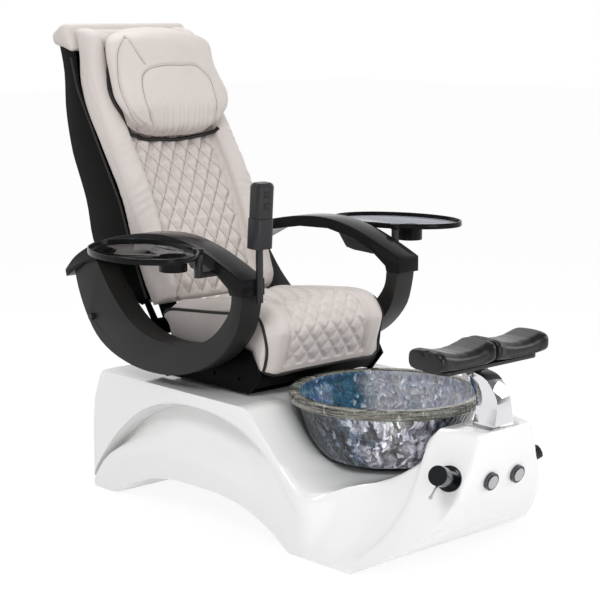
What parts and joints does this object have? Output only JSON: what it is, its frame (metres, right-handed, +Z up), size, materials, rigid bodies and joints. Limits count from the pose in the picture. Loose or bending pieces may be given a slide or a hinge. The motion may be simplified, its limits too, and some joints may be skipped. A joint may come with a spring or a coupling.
{
  "type": "pedicure spa chair",
  "caption": "Pedicure spa chair: reclining massage seat with flip-up arms and swing trays on a wave-shaped base with a glass foot bowl and a footrest.",
  "frame": {"origin": "on the floor, centred under the chair's overall box", "axes": "+Z up, the sitter faces -Y, +X to the sitter's left"},
  "size_m": [1.4352, 1.8573, 1.5518],
  "materials": {
    "gelcoat": "glossy white gelcoat",
    "rubber_foot": "matt",
    "black_steel": "satin black paint",
    "steel": "plain",
    "chrome": "polished",
    "bowl_glass": "textured smoky glass with a pearl sheen",
    "seal": "matt",
    "black_vinyl": "smooth black vinyl",
    "greige_leather": "sewn soft leather",
    "charcoal": "fine texture, matt",
    "black_gloss": "high gloss",
    "dark_metal": "dark polished",
    "soft_black": "soft black",
    "key_silver": "satin",
    "nylon": "plain"
  },
  "bodies": {
    "base": {"base_shell": "gelcoat", "base_glides": "rubber_foot", "deck_plate": "black_steel", "slide_rails": "steel", "slide_screw": "steel", "bowl": "bowl_glass", "bowl_gasket": "seal", "drain_flange": "chrome", "drain_strainer": "chrome", "jet_cover": "chrome", "tower_plate": "steel", "footrest_bracket": "chrome", "footrest_pin": "steel", "mixer_flange": "chrome", "button_bezels": "chrome", "drain_collar": "chrome"},
    "impeller": {"jet_impeller": "nylon"},
    "footrest": {"footrest_carrier": "soft_black", "footrest_pad_left": "black_vinyl", "footrest_pad_right": "black_vinyl"},
    "mixer": {"mixer_stem": "chrome"},
    "mixer_handle": {"mixer_cap": "dark_metal", "mixer_lever": "chrome"},
    "jet_push": {"jet_button": "chrome"},
    "drain_push": {"drain_button": "chrome"},
    "knob": {"drain_knob": "soft_black"},
    "carriage": {"seat_carriage": "black_steel", "slide_shoes": "nylon", "slide_drive": "steel", "side_plate_left": "black_steel", "side_plate_right": "black_steel", "plate_bolts": "steel", "seat_pan": "black_steel", "seat_cushion": "greige_leather", "back_pins": "steel", "arm_bolts": "soft_black", "arm_stops": "rubber_foot"},
    "backrest": {"back_shell": "charcoal", "back_frame": "black_steel", "back_cushion": "greige_leather", "head_pillow": "greige_leather", "massage_rods": "steel", "massage_screw": "steel", "recline_drive": "steel"},
    "massager": {"massage_carriage": "soft_black"},
    "kneader": {"massage_heads": "nylon"},
    "left_arm": {"arm_shell_left": "charcoal", "arm_pad_left": "black_gloss", "tray_post_left": "soft_black"},
    "right_arm": {"arm_shell_right": "charcoal", "arm_pad_right": "black_gloss", "tray_post_right": "soft_black", "remote_post": "soft_black", "remote_cradle": "soft_black"},
    "left_tray": {"tray_left": "black_gloss"},
    "right_tray": {"tray_right": "black_gloss"},
    "remote": {"remote_handset": "black_gloss"},
    "key_up": {"remote_key_up": "key_silver"},
    "key_down": {"remote_key_down": "key_silver"}
  },
  "joints": [
    {"name": "seat_slide", "type": "slide", "parent": "base", "child": "carriage", "axis": [0, 1, 0], "range_m": [0, 0.08]},
    {"name": "back_recline", "type": "hinge", "parent": "carriage", "child": "backrest", "pos_m": [0, 0.372, 0.566], "axis": [-1, 0, 0], "range_deg": [-6, 20]},
    {"name": "left_arm_flip", "type": "hinge", "parent": "carriage", "child": "left_arm", "pos_m": [0.335, 0.566, 0.589], "axis": [-1, 0, 0], "range_deg": [0, 60]},
    {"name": "right_arm_flip", "type": "hinge", "parent": "carriage", "child": "right_arm", "pos_m": [-0.335, 0.566, 0.589], "axis": [-1, 0, 0], "range_deg": [0, 60]},
    {"name": "left_tray_swing", "type": "hinge", "parent": "left_arm", "child": "left_tray", "pos_m": [0.43, -0.06, 0.88], "axis": [0, 0, -1], "range_deg": [0, 55]},
    {"name": "right_tray_swing", "type": "hinge", "parent": "right_arm", "child": "right_tray", "pos_m": [-0.43, -0.06, 0.88], "axis": [0, 0, 1], "range_deg": [0, 55]},
    {"name": "footrest_tilt", "type": "hinge", "parent": "base", "child": "footrest", "pos_m": [0, -0.8, 0.56], "axis": [1, 0, 0], "range_deg": [-20, 20]},
    {"name": "mixer_turn", "type": "hinge", "parent": "base", "child": "mixer", "pos_m": [-0.181, -0.864, 0.291], "axis": [-0.8885, -0.3059, 0.342], "range_deg": [-50, 50]},
    {"name": "mixer_lift", "type": "hinge", "parent": "mixer", "child": "mixer_handle", "pos_m": [-0.23164, -0.88144, 0.3105], "axis": [-0.3256, 0.9455, 0], "range_deg": [0, 12]},
    {"name": "jet_press", "type": "slide", "parent": "base", "child": "jet_push", "axis": [0, 0.9781, 0.2079], "range_m": [0, 0.004], "stiffness_N_per_m": 600, "springref_m": -0.002},
    {"name": "drain_press", "type": "slide", "parent": "base", "child": "drain_push", "axis": [0, 0.9781, 0.2079], "range_m": [0, 0.004], "stiffness_N_per_m": 600, "springref_m": -0.002},
    {"name": "drain_turn", "type": "hinge", "parent": "base", "child": "knob", "pos_m": [0.181, -0.864, 0.291], "axis": [0.8885, -0.3059, 0.342], "range_deg": [0, 90]},
    {"name": "impeller_spin", "type": "hinge", "parent": "base", "child": "impeller", "pos_m": [0, -0.346, 0.27], "axis": [0, 0, 1], "continuous": true},
    {"name": "massage_travel", "type": "slide", "parent": "backrest", "child": "massager", "axis": [0, 0.4848, 0.8746], "range_m": [0, 0.42]},
    {"name": "kneader_spin", "type": "hinge", "parent": "massager", "child": "kneader", "pos_m": [0, 0.52321, 0.78517], "axis": [1, 0, 0], "continuous": true},
    {"name": "remote_lift", "type": "slide", "parent": "right_arm", "child": "remote", "axis": [0, -0.0698, 0.9976], "range_m": [0, 0.092]},
    {"name": "key_up_press", "type": "slide", "parent": "remote", "child": "key_up", "axis": [0, 0.9976, 0.0698], "range_m": [0, 0.0009], "stiffness_N_per_m": 400, "springref_m": -0.0005},
    {"name": "key_down_press", "type": "slide", "parent": "remote", "child": "key_down", "axis": [0, 0.9976, 0.0698], "range_m": [0, 0.0009], "stiffness_N_per_m": 400, "springref_m": -0.0005}
  ]
}
